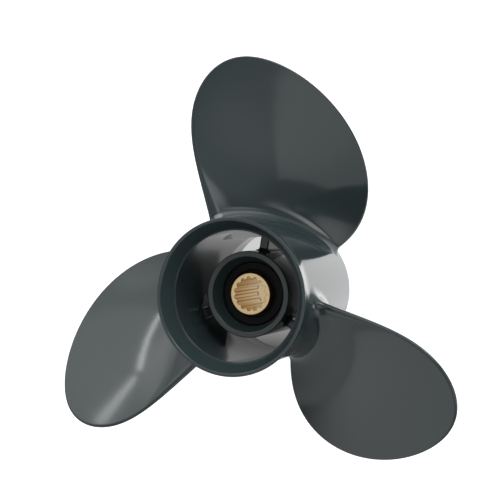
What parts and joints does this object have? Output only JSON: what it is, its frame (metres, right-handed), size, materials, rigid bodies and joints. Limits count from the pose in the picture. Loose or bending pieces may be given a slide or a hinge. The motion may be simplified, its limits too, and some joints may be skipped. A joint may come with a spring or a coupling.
{
  "type": "outboard motor propeller",
  "caption": "Right-handed outboard motor propeller with broad raked blades, an exhaust passage through its flared barrel, a rubber bushing and a splined brass sleeve.",
  "frame": {"origin": "on the shaft axis, in the plane of the barrel's forward end, which the part stands on", "axes": "+Z along the shaft axis, pointing aft towards the flared rim; +Y up the reference line of blade_1; +X completes the right-handed frame"},
  "size_m": [0.3197, 0.3015, 0.13],
  "materials": {
    "painted_casting": "gloss dark grey enamel over die-cast aluminium",
    "rubber": "matte black moulded rubber",
    "brass": "machined and broached brass, uncoated"
  },
  "bodies": {
    "root": {"barrel": "painted_casting", "inner_hub": "painted_casting", "rib_1": "painted_casting", "rib_2": "painted_casting", "rib_3": "painted_casting", "blade_1": "painted_casting", "blade_2": "painted_casting", "blade_3": "painted_casting", "rubber_bushing": "rubber", "splined_sleeve": "brass"}
  },
  "joints": []
}
